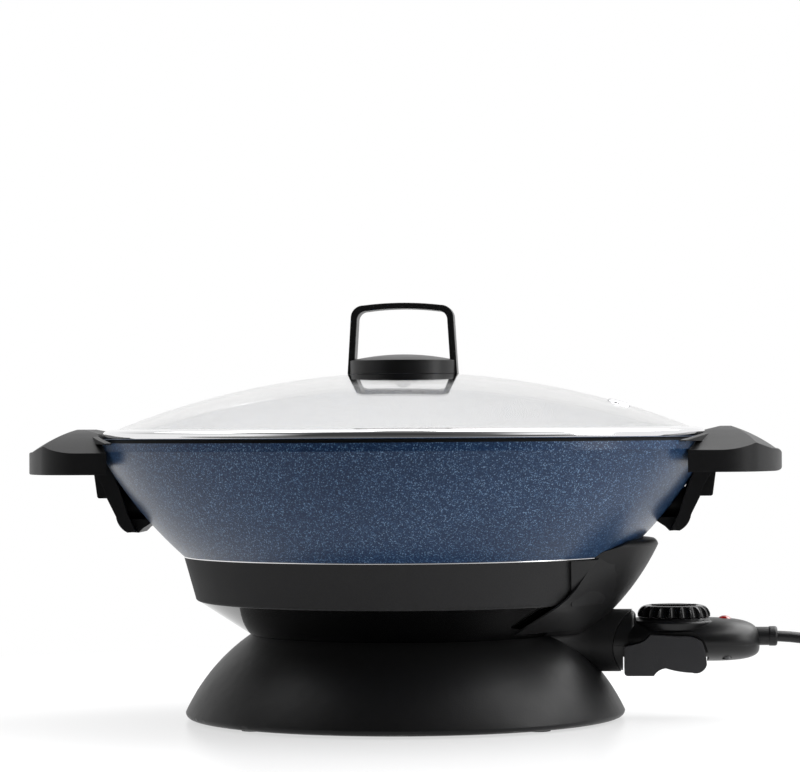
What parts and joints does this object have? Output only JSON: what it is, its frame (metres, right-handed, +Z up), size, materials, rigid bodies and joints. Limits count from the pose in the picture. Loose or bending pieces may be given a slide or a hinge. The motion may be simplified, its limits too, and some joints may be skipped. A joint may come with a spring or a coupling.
{
  "type": "electric wok",
  "caption": "Round electric wok on a conical base, with a lift-off glass lid, two side handles and a plug-in temperature probe with dial, release trigger and mains cord.",
  "frame": {"origin": "on the surface the wok stands on, under the middle of the pan", "axes": "+Z up, +X along the probe socket towards the right handle, -Y towards the front"},
  "size_m": [0.6942, 0.385, 0.2618],
  "materials": {
    "pan_coating": "blue metallic non-stick coating with fine pale speckle",
    "element_sheath": "dull metal sheath",
    "terminal_steel": "plain steel",
    "insulator": "unglazed white ceramic",
    "collar_paint": "satin dark grey paint",
    "shield_enamel": "glossy black",
    "body_plastic": "fine matte texture",
    "base_plastic": "fine matte texture",
    "handle_plastic": "satin fine texture",
    "foot_rubber": "soft matte",
    "screw_steel": "zinc plated",
    "lid_glass": "clear tempered glass",
    "lid_chrome": "polished",
    "vent_steel": "polished steel",
    "lid_handle_plastic": "satin",
    "seal_silicone": "matte silicone",
    "probe_plastic": "fine matte texture",
    "trigger_plastic": "smooth satin",
    "dial_plastic": "satin with plain white numbers",
    "stem_steel": "polished stainless",
    "contact_brass": "plain",
    "thermostat_body": "moulded phenolic",
    "spring_steel": "plain",
    "lens_red": "clear red",
    "cord_vinyl": "smooth flexible vinyl",
    "plug_vinyl": "moulded vinyl",
    "pin_brass": "plain"
  },
  "bodies": {
    "cooker": {"pan": "pan_coating", "heating_element": "element_sheath", "element_terminals": "terminal_steel", "terminal_insulators": "insulator", "collar_ring": "collar_paint", "heat_shield": "shield_enamel", "socket_shroud": "body_plastic", "probe_guard": "body_plastic", "base_shell": "base_plastic", "base_feet": "foot_rubber", "base_screws": "screw_steel", "right_handle": "handle_plastic", "left_handle": "handle_plastic", "handle_screws": "screw_steel"},
    "lid": {"lid_glass": "lid_glass", "lid_rim": "lid_chrome", "lid_vent": "vent_steel", "lid_handle_loop": "lid_handle_plastic", "lid_handle_base": "lid_handle_plastic", "lid_handle_seal": "seal_silicone", "lid_handle_washer": "screw_steel", "lid_handle_screw": "screw_steel"},
    "probe": {"probe_upper_shell": "probe_plastic", "probe_lower_shell": "probe_plastic", "probe_stem": "stem_steel", "probe_contacts": "contact_brass", "thermostat": "thermostat_body", "indicator_lens": "lens_red", "trigger_pin": "screw_steel", "trigger_spring": "spring_steel", "probe_screws": "screw_steel", "cord_sleeve": "cord_vinyl", "cord": "cord_vinyl", "cord_coil": "cord_vinyl", "plug_body": "plug_vinyl", "plug_pins": "pin_brass"},
    "dial": {"temperature_dial": "dial_plastic", "dial_shaft": "stem_steel"},
    "trigger": {"probe_trigger": "trigger_plastic"}
  },
  "joints": [
    {"name": "lid_lift", "type": "slide", "parent": "cooker", "child": "lid", "axis": [0, 0, 1], "range_m": [0, 0.15]},
    {"name": "probe_pull", "type": "slide", "parent": "cooker", "child": "probe", "axis": [1, 0, 0], "range_m": [0, 0.08]},
    {"name": "dial_turn", "type": "hinge", "parent": "probe", "child": "dial", "pos_m": [0.1695, 0, 0.067], "axis": [0, 0, 1], "range_deg": [0, 290]},
    {"name": "trigger_squeeze", "type": "hinge", "parent": "probe", "child": "trigger", "pos_m": [0.16, 0, 0.044], "axis": [0, -1, 0], "range_deg": [0, 6], "stiffness_Nm_per_rad": 1.2, "springref_deg": -4.58}
  ]
}
